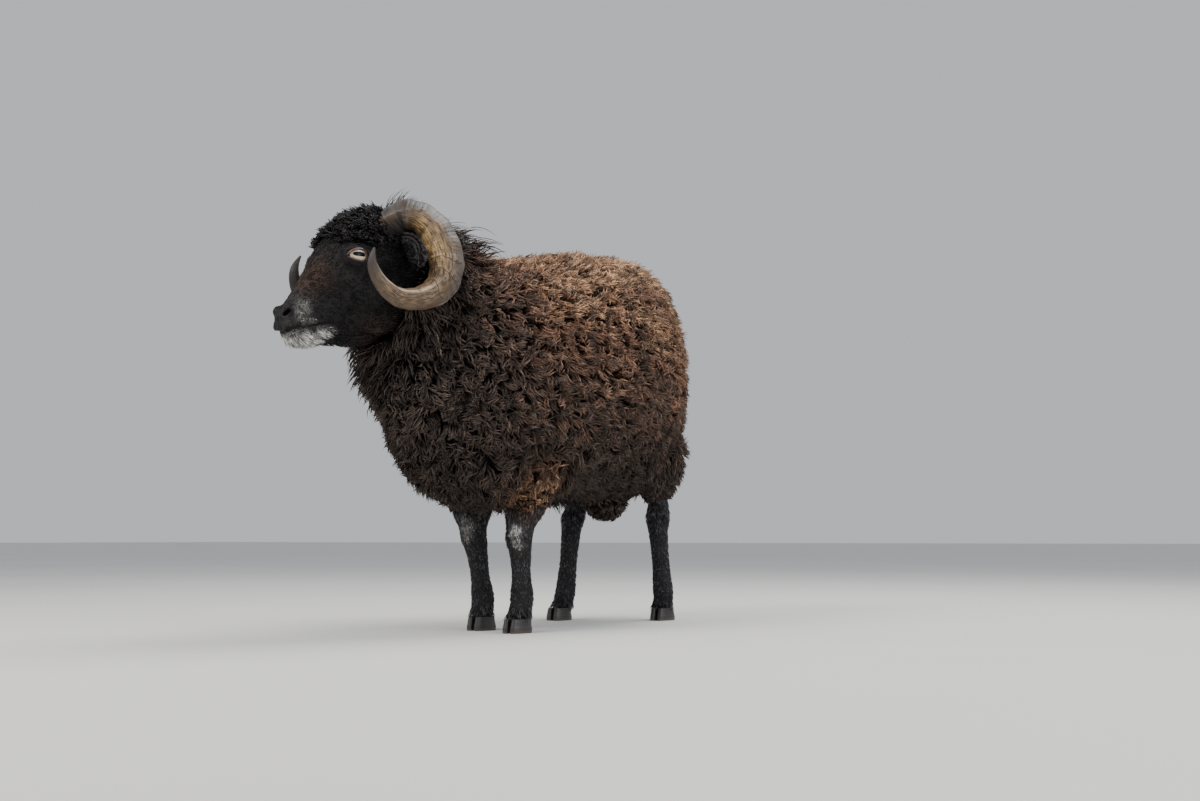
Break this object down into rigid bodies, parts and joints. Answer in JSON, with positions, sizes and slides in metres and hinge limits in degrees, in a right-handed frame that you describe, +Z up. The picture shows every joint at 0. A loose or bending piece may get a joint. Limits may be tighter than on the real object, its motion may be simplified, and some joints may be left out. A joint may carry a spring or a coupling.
{
  "type": "ouessant ram, still life-size model",
  "caption": "Small dark horned ram with a curly fleece, standing on four legs with its head turned a little to its right, as a still life-size model.",
  "frame": {"origin": "middle of the ram's box seen from above, on the floor under its soles", "axes": "-Y is the way the ram faces, +X is its left, +Z is up"},
  "size_m": [0.3165, 0.7376, 0.5212],
  "materials": {
    "fleece": "tight curly wool, bleached to reddish brown on the back and rump and near black on the sides",
    "mane": "long black locks with a few paler strands",
    "face_hair": "short black hair, brown on the bridge of the nose and grey-white round the mouth, curly on the forehead",
    "leg_hair": "short black hair with a blue-grey sheen and grey-white patches on the knees",
    "ear_hair": "short dark hair outside, greyish skin inside the cup",
    "horn": "ridged grey-brown horn, tan along the lower curl, satin",
    "eye": "wet cream iris with a level black slot pupil",
    "claw": "black hoof horn, satin"
  },
  "bodies": {
    "root": {"torso": "fleece", "neck": "mane", "head": "face_hair", "tail": "fleece", "scrotum": "fleece", "front_leg_left": "leg_hair", "front_leg_right": "leg_hair", "hind_leg_left": "leg_hair", "hind_leg_right": "leg_hair", "front_claw_left_outer": "claw", "front_claw_left_inner": "claw", "front_claw_right_outer": "claw", "front_claw_right_inner": "claw", "hind_claw_left_outer": "claw", "hind_claw_left_inner": "claw", "hind_claw_right_outer": "claw", "hind_claw_right_inner": "claw", "horn_left": "horn", "ear_left": "ear_hair", "eye_left": "eye", "horn_right": "horn", "ear_right": "ear_hair", "eye_right": "eye"}
  },
  "joints": []
}
